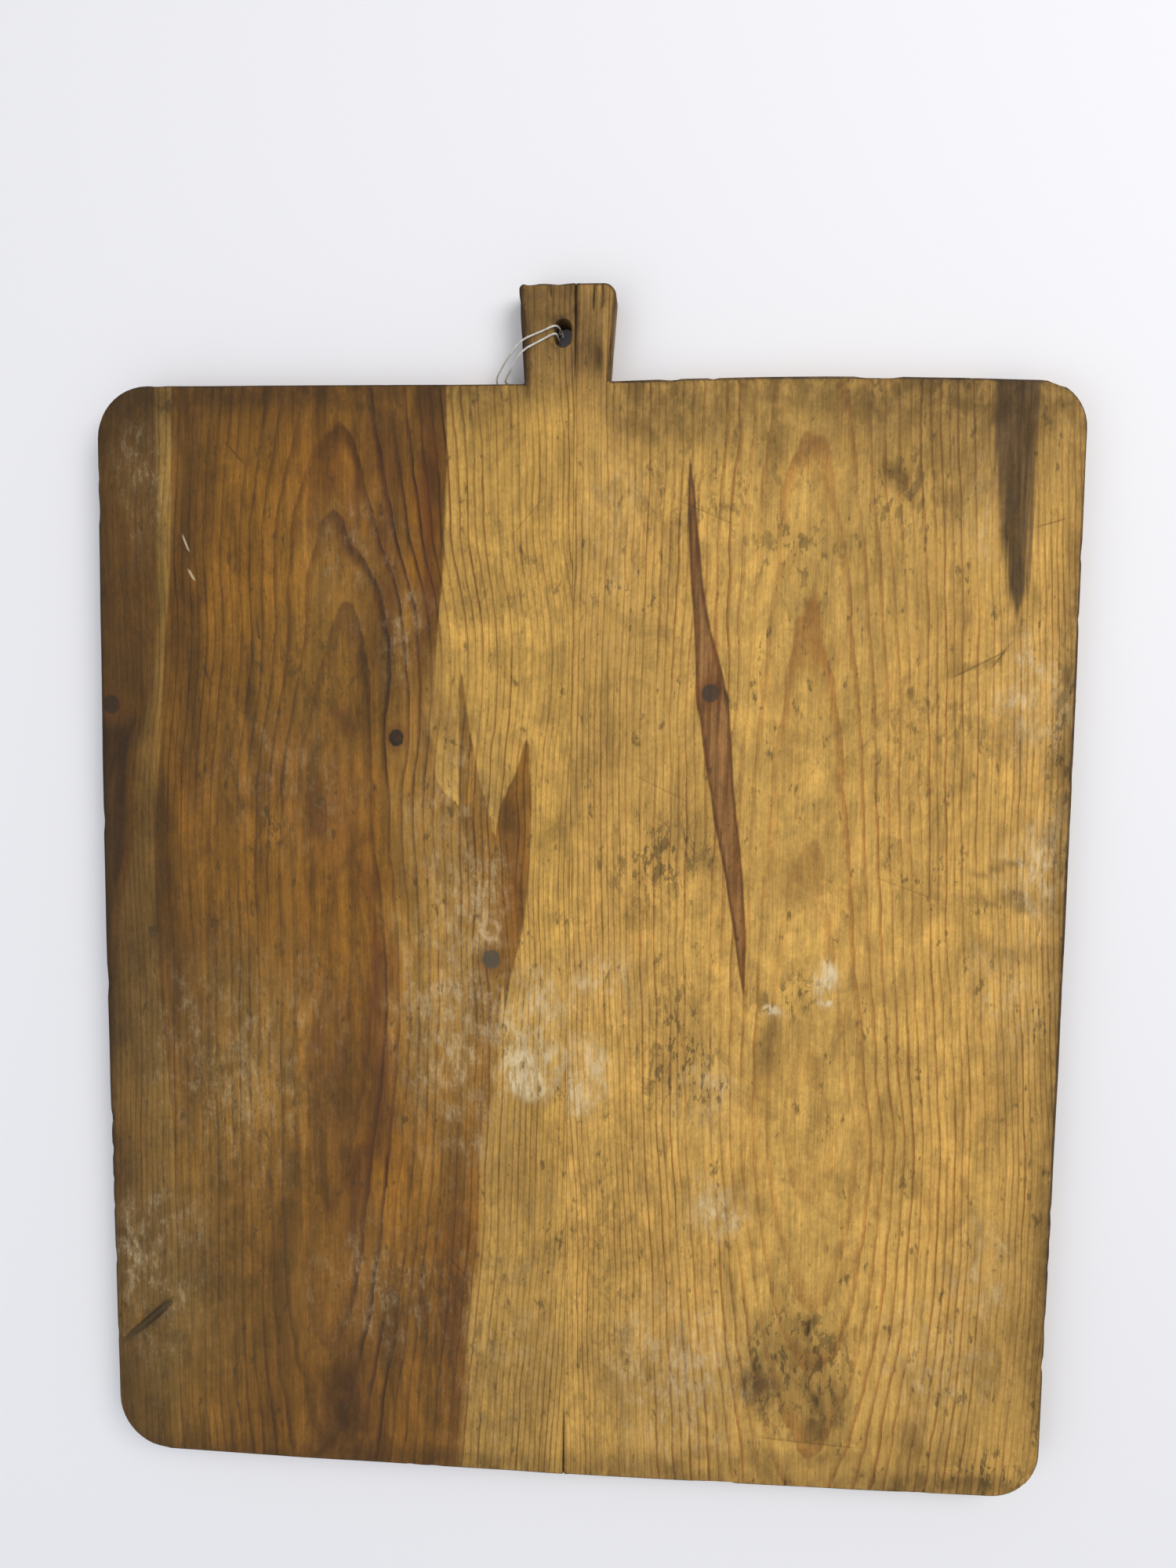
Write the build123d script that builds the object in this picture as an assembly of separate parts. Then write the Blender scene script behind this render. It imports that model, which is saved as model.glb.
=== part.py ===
from build123d import *
import math
import os

# A pine board glued up from two planks, with a short flared handle at the head.
# It lies as it is used: +Z up out of the cutting face, +Y towards the handle,
# +X to the right of someone who looks down on the face with the handle far from them.
# The origin is the middle of the board's outline, on the table.  Millimetres.

# Overall sizes
board_width = 503.5
body_length = 580.0
board_thickness = 20.0
handle_length = 49.0

# The edges were planed by eye, so each bows out a little past its corners
left_bow = 2.3
right_bow = 1.2
foot_bow = 2.0
head_bow = 3.2
right_shoulder_rise = 1.3
head_corner_drop = 0.5
corner_radii = {"foot_left": 30.0, "foot_right": 25.0, "head_right": 24.0, "head_left": 27.0}

# Handle
handle_offset = -5.3
handle_root_width = 43.4
handle_end_width = 49.8
handle_corner_left = 2.6
handle_corner_right = 6.5
handle_relief = 2.0

# Worn arrises
face_arris = 2.0
under_arris = 1.5

# Hanging slot, which lies wholly in the left plank
slot_width = 8.0
slot_length = 13.5
slot_wall_to_seam = 2.2
slot_centre_to_handle_end = 24.7
slot_mouth_arris = 0.8

# Glue joint between the planks, and the blind dowels that register it
seam_x = -1.25
dowel_diameter = 8.0
dowel_length = 50.0
dowel_end_chamfer = 0.8
dowel_count = 4
dowel_edge_margin = 70.0
bore_end_clearance = 1.0

# Hanging loop: one nylon line, wound twice round the handle's left half through the slot
line_diameter = 1.0
knot_diameter = 2.8
bend_share = 0.45
line_route = [
    (-9.4, 293.2, 9.6), (-9.4, 293.2, 13.6), (-9.8, 293.2, 17.2), (-10.5, 293.1, 20.2),
    (-12.4, 292.6, 21.6), (-16.8, 290.9, 20.6), (-22.4, 288.7, 20.6), (-27.2, 286.5, 21.2),
    (-31.6, 283.2, 18.8), (-35.8, 279.4, 14.6), (-40.0, 275.0, 9.8), (-43.2, 271.0, 5.4),
    (-42.6, 268.4, 1.8), (-38.4, 267.4, 0.5), (-32.4, 267.0, 0.5), (-25.6, 268.0, 0.5),
    (-18.6, 270.6, 0.5), (-13.0, 275.6, 0.5), (-10.6, 281.6, 0.5), (-10.4, 286.8, 0.8),
    (-10.3, 288.4, 4.6), (-10.3, 288.7, 10.0), (-10.4, 289.0, 15.4), (-10.6, 289.3, 20.1),
    (-12.4, 288.8, 21.6), (-16.8, 286.8, 20.6), (-22.4, 284.0, 20.6), (-27.0, 281.4, 21.2),
    (-30.8, 277.8, 18.6), (-34.0, 274.2, 14.0), (-37.0, 271.4, 9.2), (-38.8, 269.6, 4.8),
    (-37.0, 269.2, 1.4), (-32.6, 268.8, 0.5), (-27.0, 269.8, 0.5), (-21.6, 272.4, 0.5),
    (-17.0, 277.0, 0.5), (-14.6, 283.0, 0.5), (-12.8, 288.4, 0.5), (-10.4, 292.4, 1.2),
    (-9.4, 293.2, 4.0), (-9.4, 293.2, 7.0),
]

# Worked-out places
half_width = board_width / 2
foot_y = -(body_length + handle_length) / 2
shoulder_y = foot_y + body_length
handle_end_y = shoulder_y + handle_length
left_x = -half_width + left_bow
right_x = half_width - right_bow
foot_corner_y = foot_y + foot_bow
side_middle_y = (foot_corner_y + shoulder_y) / 2
root_left_x = handle_offset - handle_root_width / 2
root_right_x = handle_offset + handle_root_width / 2
end_left_x = handle_offset - handle_end_width / 2
end_right_x = handle_offset + handle_end_width / 2
root_right_y = shoulder_y + right_shoulder_rise
slot_x = seam_x - slot_wall_to_seam - slot_width / 2
slot_y = handle_end_y - slot_centre_to_handle_end
middle_z = board_thickness / 2
bore_length = dowel_length + 2 * bore_end_clearance
first_dowel_y = foot_corner_y + dowel_edge_margin
last_dowel_y = shoulder_y - dowel_edge_margin
dowel_places = [
    first_dowel_y + (last_dowel_y - first_dowel_y) * step / (dowel_count - 1)
    for step in range(dowel_count)
]


def nearest_corner(shape, x, y):
    return min(shape.vertices(), key=lambda corner: math.hypot(corner.X - x, corner.Y - y))


def edges_at_height(shape, height):
    return shape.edges().filter_by_position(Axis.Z, height - 0.01, height + 0.01)


def body_slab():
    """The board without its handle, with bowed edges and rounded corners."""
    head_right = (right_x, shoulder_y - head_corner_drop)
    head_middle = ((root_right_x + right_x) / 2, shoulder_y + head_bow)
    outline = make_face([
        ThreePointArc((left_x, foot_corner_y), (0, foot_y), (right_x, foot_corner_y)),
        ThreePointArc((right_x, foot_corner_y), (half_width, side_middle_y), head_right),
        ThreePointArc(head_right, head_middle, (root_right_x, root_right_y)),
        Line((root_right_x, root_right_y), (root_left_x, shoulder_y)),
        Line((root_left_x, shoulder_y), (left_x, shoulder_y)),
        ThreePointArc((left_x, shoulder_y), (-half_width, side_middle_y), (left_x, foot_corner_y)),
    ])
    corner_places = {
        "foot_left": (left_x, foot_corner_y),
        "foot_right": (right_x, foot_corner_y),
        "head_right": head_right,
        "head_left": (left_x, shoulder_y),
    }
    for name, (x, y) in corner_places.items():
        outline = fillet(nearest_corner(outline, x, y), corner_radii[name])
    slab = extrude(outline, board_thickness)
    return fillet(edges_at_height(slab, 0), under_arris)


def handle_block():
    """The flared handle, which stands a little clear of the table underneath."""
    inside_y = shoulder_y - handle_length / 4
    outline = make_face(Polyline(
        (root_left_x, inside_y), (root_left_x, shoulder_y), (end_left_x, handle_end_y),
        (end_right_x, handle_end_y), (root_right_x, root_right_y), (root_right_x, inside_y),
        close=True,
    ))
    outline = fillet(nearest_corner(outline, end_left_x, handle_end_y), handle_corner_left)
    outline = fillet(nearest_corner(outline, end_right_x, handle_end_y), handle_corner_right)
    block = Pos(0, 0, handle_relief) * extrude(outline, board_thickness - handle_relief)
    free_edges = edges_at_height(block, handle_relief).filter_by(
        lambda edge: edge.center().Y > shoulder_y + right_shoulder_rise
    )
    return fillet(free_edges, under_arris)


def hanging_slot():
    """Cutter for the long slot, which runs past both faces of the handle."""
    outline = SlotOverall(slot_length, slot_width, rotation=90)
    return Pos(slot_x, slot_y, -board_thickness) * extrude(outline, 3 * board_thickness)


def whole_board():
    board = body_slab() + handle_block()
    board = fillet(edges_at_height(board, board_thickness), face_arris)
    board -= hanging_slot()
    mouth_reach = slot_length / 2 + 0.1
    mouths = board.edges().filter_by(
        lambda edge: math.hypot(edge.center().X - slot_x, edge.center().Y - slot_y) < mouth_reach
        and min(abs(edge.center().Z - board_thickness), abs(edge.center().Z - handle_relief)) < 0.01
    )
    return fillet(mouths, slot_mouth_arris)


def dowel(y):
    peg = Cylinder(dowel_diameter / 2, dowel_length)
    peg = chamfer(peg.edges().filter_by(GeomType.CIRCLE), dowel_end_chamfer)
    return Pos(seam_x, y, middle_z) * Rot(0, 90, 0) * peg


def dowel_bore(y):
    return Pos(seam_x, y, middle_z) * Rot(0, 90, 0) * Cylinder(dowel_diameter / 2, bore_length)


def half_space(side):
    """A block that holds everything on one side of the glue joint."""
    reach = 2 * board_width
    return Pos(seam_x + side * reach / 2, 0, middle_z) * Box(reach, 3 * body_length, 3 * board_thickness)


def plank(board, side):
    blank = board & half_space(side)
    for y in dowel_places:
        blank -= dowel_bore(y)
    return blank


def bend_radii(route):
    """The largest arc that the two runs beside each point leave room for."""
    radii = []
    for before, here, after in zip(route, route[1:], route[2:]):
        run_in = Vector(*here) - Vector(*before)
        run_out = Vector(*after) - Vector(*here)
        half_turn = math.radians(run_in.get_angle(run_out)) / 2
        radii.append(bend_share * min(run_in.length, run_out.length) / math.tan(half_turn))
    return radii


def nylon_line():
    radii = bend_radii(line_route)
    print("line bend radii, mm:", [round(radius, 1) for radius in radii])
    path = FilletPolyline(*line_route, radius=radii)
    start = Plane(origin=path @ 0, z_dir=path % 0)
    line = sweep(start * Circle(line_diameter / 2), path=path)
    section = math.pi * line_diameter ** 2 / 4
    print("line length, mm:", round(path.length, 1), "volume over section times length:",
          round(line.volume / (section * path.length), 4))
    return line


def line_knot():
    low = line_route[-1]
    height = line_route[0][2] - low[2]
    return Pos(low[0], low[1], low[2] + height / 2) * Cylinder(knot_diameter / 2, height)


board = whole_board()
parts = {
    "left_plank": plank(board, -1),
    "right_plank": plank(board, 1),
    "hang_line": nylon_line(),
    "line_knot": line_knot(),
}
for number, y in enumerate(dowel_places, start=1):
    parts[f"edge_dowel_{number}"] = dowel(y)

os.makedirs("parts", exist_ok=True)
for name, part in parts.items():
    export_step(part, f"parts/{name}.step")
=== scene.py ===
import math
import bmesh
import bpy
import numpy as np
from mathutils import Matrix, Vector, noise


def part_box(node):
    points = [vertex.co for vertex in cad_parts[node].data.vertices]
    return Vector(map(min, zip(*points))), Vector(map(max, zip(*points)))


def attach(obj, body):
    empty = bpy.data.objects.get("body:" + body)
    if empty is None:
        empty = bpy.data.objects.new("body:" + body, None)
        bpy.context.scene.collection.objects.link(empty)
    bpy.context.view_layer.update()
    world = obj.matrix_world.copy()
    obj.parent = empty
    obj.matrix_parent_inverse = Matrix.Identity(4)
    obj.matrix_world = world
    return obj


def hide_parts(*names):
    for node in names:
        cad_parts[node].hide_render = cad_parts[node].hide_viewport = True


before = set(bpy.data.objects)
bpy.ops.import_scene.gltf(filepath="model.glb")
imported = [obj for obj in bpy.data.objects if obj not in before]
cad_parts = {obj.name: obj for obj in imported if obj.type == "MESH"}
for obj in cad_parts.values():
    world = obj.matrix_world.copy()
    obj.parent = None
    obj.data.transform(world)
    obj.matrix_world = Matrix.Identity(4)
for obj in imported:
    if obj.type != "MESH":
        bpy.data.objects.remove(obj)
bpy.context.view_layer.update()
mm = 0.001


# ---- small helpers for objects

def deselectAll():
    bpy.ops.object.select_all(action="DESELECT")


def makeActive(piece):
    deselectAll()
    piece.select_set(True)
    bpy.context.view_layer.objects.active = piece


def inScene(name, data):
    piece = bpy.data.objects.new(name, data)
    bpy.context.scene.collection.objects.link(piece)
    return piece


# ---- camera

cameraSetup = {
    "place": (0.04804, 0.11355, 0.60585),
    "right": (0.99751, 0.01188, -0.06947),
    "up": (-0.01769, 0.99634, -0.08368),
    "lens": 26.24,
    "sensor": 36.0,
}


def addCamera(setup):
    right = Vector(setup["right"]).normalized()
    up = Vector(setup["up"]).normalized()
    back = right.cross(up).normalized()
    turn = Matrix((right, up, back)).transposed().to_4x4()
    lensData = bpy.data.cameras.new("boardCamera")
    lensData.lens = setup["lens"]
    lensData.sensor_width = setup["sensor"]
    lensData.clip_start = 0.01
    camera = inScene("boardCamera", lensData)
    camera.matrix_world = Matrix.Translation(setup["place"]) @ turn
    bpy.context.scene.camera = camera


addCamera(cameraSetup)
print("camera set")


# ---- helpers for materials

def paint(red, green, blue):
    # screen colour, 0 to 255, to the linear colour that nodes take
    shares = (red / 255, green / 255, blue / 255)
    return tuple(((c + 0.055) / 1.055) ** 2.4 if c > 10 / 255 else c / 12.92 for c in shares) + (1.0,)


def newNode(tree, kind, **settings):
    node = tree.nodes.new(kind)
    for name, value in settings.items():
        setattr(node, name, value)
    return node


def feed(tree, socket, value):
    if isinstance(value, bpy.types.NodeSocket):
        tree.links.new(value, socket)
    else:
        socket.default_value = value


def maths(tree, operation, first, second=None, third=None, clamp=False):
    node = newNode(tree, "ShaderNodeMath", operation=operation, use_clamp=clamp)
    for socket, value in zip(node.inputs, (first, second, third)):
        if value is not None:
            feed(tree, socket, value)
    return node.outputs[0]


def times(tree, first, second, clamp=False):
    return maths(tree, "MULTIPLY", first, second, clamp=clamp)


def plus(tree, first, second):
    return maths(tree, "ADD", first, second)


def minus(tree, first, second, clamp=False):
    return maths(tree, "SUBTRACT", first, second, clamp=clamp)


def larger(tree, first, second):
    return maths(tree, "MAXIMUM", first, second)


def fade(tree, value, low, high, start=0.0, end=1.0):
    node = newNode(tree, "ShaderNodeMapRange", interpolation_type="SMOOTHSTEP")
    entries = {"Value": value, "From Min": low, "From Max": high, "To Min": start, "To Max": end}
    for name, entry in entries.items():
        feed(tree, node.inputs[name], entry)
    return node.outputs[0]


def blendColour(tree, factor, under, over, mode="MIX"):
    node = newNode(tree, "ShaderNodeMix", data_type="RGBA", blend_type=mode)
    feed(tree, node.inputs[0], factor)
    feed(tree, node.inputs[6], under)
    feed(tree, node.inputs[7], over)
    return node.outputs[2]


def grainNoise(tree, place, scale, detail=2.0, roughness=0.5, shift=0.0, distortion=0.0):
    # noise with its own scale along X, Y and Z, per millimetre, from 0 to 1
    stretch = newNode(tree, "ShaderNodeVectorMath", operation="MULTIPLY_ADD")
    feed(tree, stretch.inputs[0], place)
    stretch.inputs[1].default_value = scale
    stretch.inputs[2].default_value = (shift, shift * 0.7, shift * 1.3)
    node = newNode(tree, "ShaderNodeTexNoise")
    feed(tree, node.inputs["Vector"], stretch.outputs[0])
    node.inputs["Scale"].default_value = 1.0
    node.inputs["Detail"].default_value = detail
    node.inputs["Roughness"].default_value = roughness
    node.inputs["Distortion"].default_value = distortion
    return node.outputs["Fac"]


def centred(tree, value, size):
    return times(tree, minus(tree, value, 0.5), size)


curveReach = 320.0    # curves along the grain take and give -320 to 320 mm


def alongGrain(tree, lengthwise, points):
    # a curve through given points: its value in mm for each place along the grain in mm
    node = newNode(tree, "ShaderNodeFloatCurve")
    line = node.mapping.curves[0]
    whole = 2 * curveReach
    spots = [((y + curveReach) / whole, (x + curveReach) / whole) for y, x in sorted(points)]
    line.points[0].location = spots[0]
    line.points[1].location = spots[-1]
    for spot in spots[1:-1]:
        line.points.new(*spot)
    node.mapping.update()
    feed(tree, node.inputs["Value"], maths(tree, "MULTIPLY_ADD", lengthwise, 1 / whole, 0.5))
    return maths(tree, "MULTIPLY_ADD", node.outputs[0], whole, -curveReach)


def spot(tree, ragged, x, y, width, length, angle=0.0, softness=0.5):
    # soft-edged oval on the face: 1 inside, 0 outside; angle in degrees from the grain
    node = newNode(tree, "ShaderNodeMapping", vector_type="TEXTURE")
    feed(tree, node.inputs["Vector"], ragged)
    node.inputs["Location"].default_value = (x, y, 0.0)
    node.inputs["Rotation"].default_value = (0.0, 0.0, math.radians(angle))
    node.inputs["Scale"].default_value = (width / 2, length / 2, 1.0)
    flat = newNode(tree, "ShaderNodeVectorMath", operation="MULTIPLY")
    feed(tree, flat.inputs[0], node.outputs[0])
    flat.inputs[1].default_value = (1.0, 1.0, 0.0)
    far = newNode(tree, "ShaderNodeVectorMath", operation="LENGTH")
    feed(tree, far.inputs[0], flat.outputs[0])
    return fade(tree, far.outputs["Value"], 1.0 - softness, 1.0 + softness, 1.0, 0.0)


def newMaterial(name):
    material = bpy.data.materials.new(name)
    material.use_nodes = True
    tree = material.node_tree
    shader = tree.nodes["Principled BSDF"]
    return material, tree, shader


def inMillimetres(tree):
    # the object's own coordinates, in mm
    scaled = newNode(tree, "ShaderNodeVectorMath", operation="SCALE")
    feed(tree, scaled.inputs[0], newNode(tree, "ShaderNodeTexCoord").outputs["Object"])
    scaled.inputs["Scale"].default_value = 1 / mm
    return scaled.outputs[0]


def addBump(tree, shader, height, strength, depth):
    bump = newNode(tree, "ShaderNodeBump")
    bump.inputs["Strength"].default_value = strength
    bump.inputs["Distance"].default_value = depth
    feed(tree, bump.inputs["Height"], height)
    feed(tree, shader.inputs["Normal"], bump.outputs[0])


# ---- pine: what both planks share, then each plank's own figure

pine = {
    "faceHeight": 20.0,
    "ringLinear": 0.125,     # rings per mm from the pith, wide near it and close further out
    "ringSquare": 0.00096,
    "bumpStrength": 0.8,
    "bumpDepth": 0.0003,     # in metres, as every bump depth here
}

leftFigure = {
    "pithAcross": [(-320, -131), (-252, -130), (-165, -127), (-50, -125), (55, -127), (134, -120),
                   (190, -124), (237, -123), (320, -122)],
    "pithDepth": [(-320, 47), (-252, 41), (-165, 35), (-50, 31.5), (55, 35), (134, 39), (190, 44),
                  (237, 49), (320, 56)],
    "ringStart": -0.6,
    "noiseShift": 3.7,
    "amberShare": 0.14,
    "innerLines": 0.9,
    "sapEarly": paint(205, 161, 80),
    "sapLate": paint(150, 98, 42),
    "heartEarly": paint(143, 96, 31),
    "heartLate": paint(66, 32, 8),
    "knots": [(-91.7, 86.8, 8.0, 9.0, 1.0, paint(34, 29, 25)),
              (-244.4, 102.3, 9.0, 10.0, 0.85, paint(44, 36, 28)),
              (-41.4, -29.0, 9.6, 10.0, 0.9, paint(72, 72, 62))],
    "paleRings": [(-41.9, -13.6, 11.5, 12.0)],
    "bends": [(-91.7, 86.8, 7.0, 42.0, 5.0), (-244.4, 102.3, 9.0, 45.0, 5.0),
              (-41.4, -29.0, 9.0, 46.0, 6.0), (-31.5, 39.6, 7.0, 36.0, 4.0)],
}

rightFigure = {
    "pithAcross": [(-320, 129), (-150, 130), (-84, 126), (22, 121), (135, 119), (232, 116), (320, 114)],
    "pithDepth": [(-320, 51), (-260, 44), (-215, 38), (-152, 32), (-118, 30), (-84, 32), (22, 37),
                  (135, 42), (232, 47), (320, 52)],
    "ringStart": -0.08,
    "noiseShift": 11.3,
    "amberShare": 0.24,
    "innerLines": 0.55,
    "sapEarly": paint(212, 167, 86),
    "sapLate": paint(168, 112, 48),
    "heartEarly": paint(150, 104, 52),
    "heartLate": paint(112, 68, 30),
    "knots": [(70.4, 111.9, 8.8, 9.6, 0.9, paint(56, 50, 40))],
    "paleRings": [],
    "bends": [(70.4, 111.9, 9.0, 60.0, 6.0)],
}

# heart and sap of the left plank, each point a place along the grain and a place across
heartRight = [(-320, -60), (-308, -58.7), (-239, -53.5), (-187, -49), (-135, -47.6), (-98, -41.4),
              (-66, -38), (-28, -29.3), (2, -24.5), (20, -31), (38, -42), (50, -58), (64, -71),
              (85, -73), (112, -72.5), (140, -71), (175, -68), (320, -68)]
heartLeft = [(-320, -214), (-135, -215.6), (-87, -219), (-32, -222.5), (37, -222.5), (92, -218),
             (127, -215.6), (175, -211.8), (264, -209.4), (320, -208)]
stripeLeft = [(-320, -254), (-60, -246), (0, -240), (20, -235), (82, -230), (95, -226), (120, -221),
              (180, -218), (245, -217.5), (320, -218)]
flameMiddle = [(-40, -34), (0, -32), (20, -31.5), (40, -31), (54, -29), (70, -26), (86, -24.2),
               (120, -24)]
flameHalf = [(-320, -6), (-40, 2), (-20, 6), (0, 8), (20, 9), (40, 8.7), (54, 7.6), (70, 3.2), (86, 0),
             (90, -4), (320, -4)]
tongueMiddle = [(40, -50), (60, -53.5), (79, -55.5), (100, -57.5), (119, -58.5), (140, -59)]
tongueHalf = [(-320, -4), (-20, -4), (10, 2), (24, 6), (40, 8), (60, 6), (79, 4), (100, 2), (119, 0),
              (126, -4), (320, -4)]
lensMiddle = [(-60, 92), (-45.8, 90.4), (9.4, 84.5), (54.2, 77.6), (109.4, 70.7), (140.5, 65.5),
              (181.9, 60.4), (233.6, 56.9), (260, 56)]
lensHalf = [(-320, -6), (-56, -2), (-46, 0), (9.4, 4.3), (54.2, 6.2), (95, 7.6), (109.4, 8.2),
            (122, 6.6), (140.5, 4.4), (181.9, 2.6), (225, 0.8), (236, -1), (320, -6)]
streakMiddle = [(140, 221), (160, 220), (190, 217.8), (230, 216.5), (264, 215.7), (320, 215)]
streakHalf = [(-320, -8), (140, -2), (147, 0), (160, 4.0), (190, 6.8), (230, 9.0), (264, 10.4),
              (320, 11)]

# each mark is x, y, width, length, angle, softness, strength
leftMarks = {
    "rubbedAndHighlight": [(-20, 272, 12, 20, 0, 1.0, 0.4)],
    "tan": [(-174, -88, 44, 100, 0, 1.0, 0.5), (-68, 94, 13, 74, 0, 0.6, 1.3),
            (-66, -20, 44, 190, 0, 0.9, 1.0), (-84, 40, 24, 130, 0, 0.9, 0.6),
            (-215, -200, 60, 160, 0, 0.9, 0.6), (-226, 222, 26, 70, 0, 0.9, 0.35),
            (-135, 150, 40, 90, 0, 1.0, 0.25)],
    "haze": [(-24, -66, 44, 80, -28, 0.7, 0.55), (-22, -92, 34, 20, -20, 0.6, 0.9),
             (-54, 0, 40, 56, 0, 0.8, 0.5), (-24, -86, 34, 26, -10, 0.5, 1.0),
             (-8, -78, 16, 24, 0, 0.8, 0.7), (-60, -70, 60, 130, 0, 0.9, 0.46),
             (-66, 40, 40, 100, 0, 0.9, 0.28), (-90, 142, 24, 44, 0, 1.0, 0.36),
             (-112, 178, 40, 60, 0, 0.9, 0.2), (-180, -95, 80, 110, 10, 1.0, 0.3),
             (-228, -205, 56, 100, 0, 1.0, 0.3), (-242, -200, 26, 60, 0, 1.0, 0.45),
             (-100, -215, 80, 70, 0, 0.9, 0.26), (-150, -60, 60, 60, 0, 1.0, 0.22),
             (-226, 222, 26, 60, 0, 0.9, 0.28), (-150, 60, 70, 60, 0, 1.0, 0.2),
             (-30, -240, 70, 140, 0, 1.0, 0.2)],
    "dark": [(-230, 150, 40, 130, 0, 1.0, 0.25), (-230, -236, 8, 46, -49, 0.8, 0.7),
             (-105, -115, 10, 60, 0, 0.9, 0.45), (-112, -158, 9, 70, -8, 0.8, 0.5),
             # the mark at (-28.4, 290), along the handle's left arris, is painted shade along with grime
             (-222, -284, 60, 50, 0, 1.0, 0.35), (-28.4, 290, 5.6, 60, 3.7, 0.5, 1.7),
             (-10, 296.6, 8, 3.6, 20, 0.8, 0.9), (-11, 283, 6, 6, 0, 0.9, 0.7),
             (-2.2, 291, 1.2, 50, 0, 0.6, 0.6), (-18, 300, 16, 20, 0, 1.0, 0.3),
             (-124, -288, 44, 70, 0, 0.9, 0.85), (-124, -136, 30, 60, 0, 0.9, 0.3),
             (-200, 230, 22, 110, 0, 0.9, 0.5), (-150, 262, 150, 14, 0, 0.9, 0.45),
             (-160, 110, 18, 60, 0, 0.9, 0.3), (-60, -304, 90, 12, 0, 0.9, 0.45),
             (-96, 240, 26, 90, 0, 0.9, 0.5), (-202, 110, 16, 130, 0, 0.9, 0.35),
             (-125, 100, 90, 60, 0, 1.0, 0.25), (-214, -242, 30, 12, 40, 0.9, 0.4),
             (-30, 45, 14, 20, 0, 0.9, 0.45), (-244, -120, 14, 170, 0, 0.9, 0.3),
             (-120, -176, 26, 60, 0, 0.9, 0.45), (-80, -250, 12, 130, 0, 0.9, 0.35),
             (-203, -30, 14, 80, 0, 0.9, 0.3), (-130, -255, 220, 90, 0, 1.0, 0.36),
             (-26, -140, 34, 60, 0, 1.0, 0.42), (-26, -250, 50, 130, 0, 1.0, 0.34),
             (-232, -40, 40, 190, 0, 1.0, 0.5), (-174, -205, 66, 90, 0, 1.0, 0.5),
             (-128, -110, 16, 70, 0, 0.9, 0.4), (-30, 42, 10, 18, 20, 0.8, 0.6)],
    "red": [(-121, 97, 16, 10, 0, 0.7, 0.9), (-104, -40, 6, 130, 4, 0.8, 0.95),
            (-97, -60, 5, 100, -3, 0.8, 0.8), (-112, -150, 9, 90, -8, 0.8, 0.8),
            (-104, -100, 12, 90, 0, 0.8, 0.7), (-128, 40, 22, 50, 0, 0.9, 0.45),
            (-130, -90, 26, 90, 0, 0.9, 0.4), (-76, 190, 8, 160, 0, 0.8, 0.8),
            (-125, 226, 12, 30, 0, 0.8, 0.5), (-30, 20, 12, 100, 0, 0.8, 0.5),
            (-68, 110, 7, 90, 0, 0.9, 0.5), (-120, -285, 26, 60, 0, 0.9, 0.5),
            (-143, -30, 5, 90, 0, 0.9, 0.4), (-60, -225, 16, 170, 0, 0.9, 0.5),
            (-100, 200, 10, 110, 0, 0.9, 0.5), (-134, 205, 7, 60, 6, 0.8, 0.45),
            (-112, 205, 7, 60, -6, 0.8, 0.45)],
    "specks": [(-140, 118, 90, 60, 0, 0.8, 0.6), (-170, -120, 90, 90, 0, 0.9, 0.5),
               (-40, 160, 60, 60, 0, 0.8, 0.4), (-60, -230, 70, 120, 0, 0.9, 0.5),
               (-165, 40, 20, 20, 0, 0.8, 1.0), (-166, 140, 8, 14, 0, 0.8, 1.0)],
    "olive": [(-170, -80, 90, 200, 0, 1.0, 0.6), (-140, 110, 120, 90, 0, 1.0, 0.6),
              (-215, -262, 70, 110, 0, 1.0, 1.0), (-176, -215, 60, 110, 0, 1.0, 1.0),
              (-30, 240, 70, 60, 0, 1.0, 0.35), (-180, 220, 40, 80, 0, 1.0, 0.5)],
}

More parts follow.
